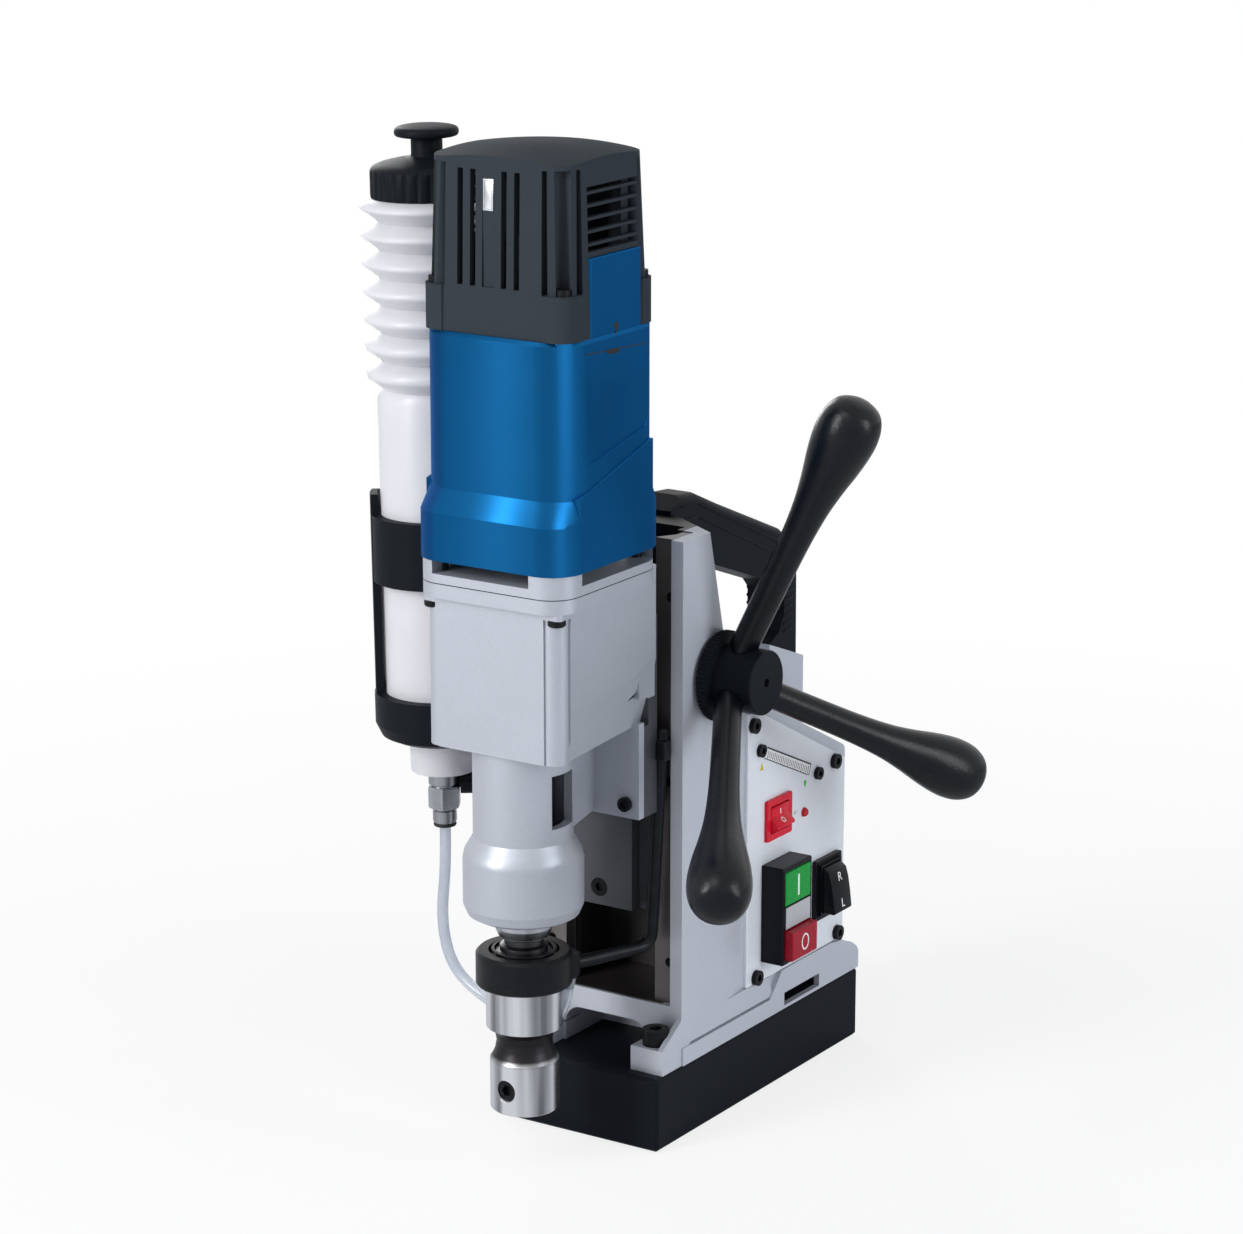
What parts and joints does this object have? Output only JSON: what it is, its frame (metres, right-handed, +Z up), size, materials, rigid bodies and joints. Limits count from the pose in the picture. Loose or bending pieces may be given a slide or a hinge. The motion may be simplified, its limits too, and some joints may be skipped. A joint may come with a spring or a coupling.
{
  "type": "magnetic drill press",
  "caption": "Portable drilling machine on an electromagnet foot, with a rack-fed motor and gearbox on a dovetail column, a three-spoke feed handle and a coolant bottle.",
  "frame": {"origin": "middle of the magnet's lower face", "axes": "+Z up, -Y the spindle side, +X the side with the feed handles and switches"},
  "size_m": [0.2413, 0.2733, 0.494],
  "materials": {
    "steel": "bright turned or ground steel",
    "dark_steel": "blackened screws and tooling",
    "magnet_steel": "black paint on the magnet's steel casing",
    "coil": "copper winding in potting resin",
    "casting": "silver powder coat on the casting",
    "slide_steel": "ground grey slide",
    "rail_steel": "dark greased rails",
    "gearbox": "silver painted gearbox castings",
    "blue": "blue moulded motor shell",
    "black": "black moulded plastic",
    "grip": "black moulded grips",
    "panel": "silver foil-faced panel",
    "red": "red button",
    "green": "green button",
    "white": "white printed scale",
    "clear": "translucent white bottle",
    "hose": "clear flexible tube",
    "copper": "windings on iron laminations",
    "board": "circuit board with its parts"
  },
  "bodies": {
    "base": {"magnet_body": "magnet_steel", "magnet_coil": "coil", "foot_screws": "dark_steel", "column_casting": "casting", "guide_rail": "rail_steel", "gib_strip": "rail_steel", "column_screws": "dark_steel", "control_panel": "panel", "panel_screws": "dark_steel", "feed_window": "white", "status_led": "red", "rocker_bezel": "red", "direction_bezel": "black", "switch_housing": "black", "circuit_board": "board", "cable_gland": "black", "carry_handle": "black", "handle_screws": "dark_steel", "shaft_bushes": "steel"},
    "carriage": {"carriage_slide": "slide_steel", "feed_rack": "rail_steel", "carriage_screws": "dark_steel", "gearbox_housing": "gearbox", "gearbox_cover": "gearbox", "motor_housing": "blue", "motor_screws": "dark_steel", "motor_stator": "copper", "motor_cap": "black", "brush_covers": "blue", "armature_bearings": "steel", "brushes": "black", "spindle_bearings": "steel", "nose_seal": "black", "coolant_ring": "dark_steel", "ring_rod": "dark_steel", "coolant_bottle": "clear", "bottle_cap": "black", "bottle_bracket": "black", "valve_body": "steel", "coolant_hose": "hose"},
    "feed": {"pinion_shaft": "steel", "shaft_end_cap": "black", "grip_up": "grip", "grip_rear": "grip", "grip_front": "grip", "spoke_rods": "steel", "feed_hub": "black", "feed_flange": "black"},
    "spindle": {"spindle": "steel", "arbor": "steel", "grub_screws": "dark_steel"},
    "armature": {"armature": "copper"},
    "layshaft_one": {"layshaft_one": "steel"},
    "layshaft_two": {"layshaft_two": "steel"},
    "magnet_rocker": {"magnet_rocker": "red"},
    "direction_rocker": {"direction_rocker": "black"},
    "start_button": {"start_button": "green"},
    "stop_button": {"stop_button": "red"},
    "pump": {"pump_knob": "black"},
    "valve_knob": {"valve_knob": "black"}
  },
  "joints": [
    {"name": "carriage_slide", "type": "slide", "parent": "base", "child": "carriage", "axis": [0, 0, 1], "range_m": [-0.028, 0.108]},
    {"name": "feed_turn", "type": "hinge", "parent": "base", "child": "feed", "pos_m": [0, -0.043, 0.229], "axis": [1, 0, 0], "range_deg": [-590, 153.5]},
    {"name": "armature_spin", "type": "hinge", "parent": "carriage", "child": "armature", "pos_m": [0, -0.127, 0.36], "axis": [0, 0, 1], "continuous": true},
    {"name": "layshaft_one_spin", "type": "hinge", "parent": "carriage", "child": "layshaft_one", "pos_m": [0.013, -0.112, 0.26], "axis": [0, 0, 1], "continuous": true},
    {"name": "layshaft_two_spin", "type": "hinge", "parent": "carriage", "child": "layshaft_two", "pos_m": [-0.013, -0.116, 0.26], "axis": [0, 0, 1], "continuous": true},
    {"name": "spindle_spin", "type": "hinge", "parent": "carriage", "child": "spindle", "pos_m": [0, -0.145, 0.14], "axis": [0, 0, 1], "continuous": true},
    {"name": "magnet_switch", "type": "hinge", "parent": "base", "child": "magnet_rocker", "pos_m": [0.044, 0.015, 0.1418], "axis": [0, 1, 0], "range_deg": [-16, 0]},
    {"name": "direction_switch", "type": "hinge", "parent": "base", "child": "direction_rocker", "pos_m": [0.044, 0.0633, 0.092], "axis": [0, 1, 0], "range_deg": [-14, 0]},
    {"name": "start_push", "type": "slide", "parent": "base", "child": "start_button", "axis": [-1, 0, 0], "range_m": [0, 0.003], "stiffness_N_per_m": 400, "springref_m": -0.001},
    {"name": "stop_push", "type": "slide", "parent": "base", "child": "stop_button", "axis": [-1, 0, 0], "range_m": [0, 0.003], "stiffness_N_per_m": 400, "springref_m": -0.001},
    {"name": "pump_pull", "type": "slide", "parent": "carriage", "child": "pump", "axis": [-0.0182, 0, 0.9998], "range_m": [0, 0.035]},
    {"name": "valve_turn", "type": "hinge", "parent": "carriage", "child": "valve_knob", "pos_m": [-0.073, -0.107, 0.172], "axis": [0.8377, 0.5459, 0.0152], "range_deg": [0, 90]}
  ],
  "couplings": [
    {"joint": "feed_turn", "follows": "carriage_slide", "rad_per_m": -95.238},
    {"joint": "layshaft_one_spin", "follows": "armature_spin", "ratio": -0.25237},
    {"joint": "layshaft_two_spin", "follows": "armature_spin", "ratio": 0.082847},
    {"joint": "spindle_spin", "follows": "armature_spin", "ratio": -0.038038}
  ]
}
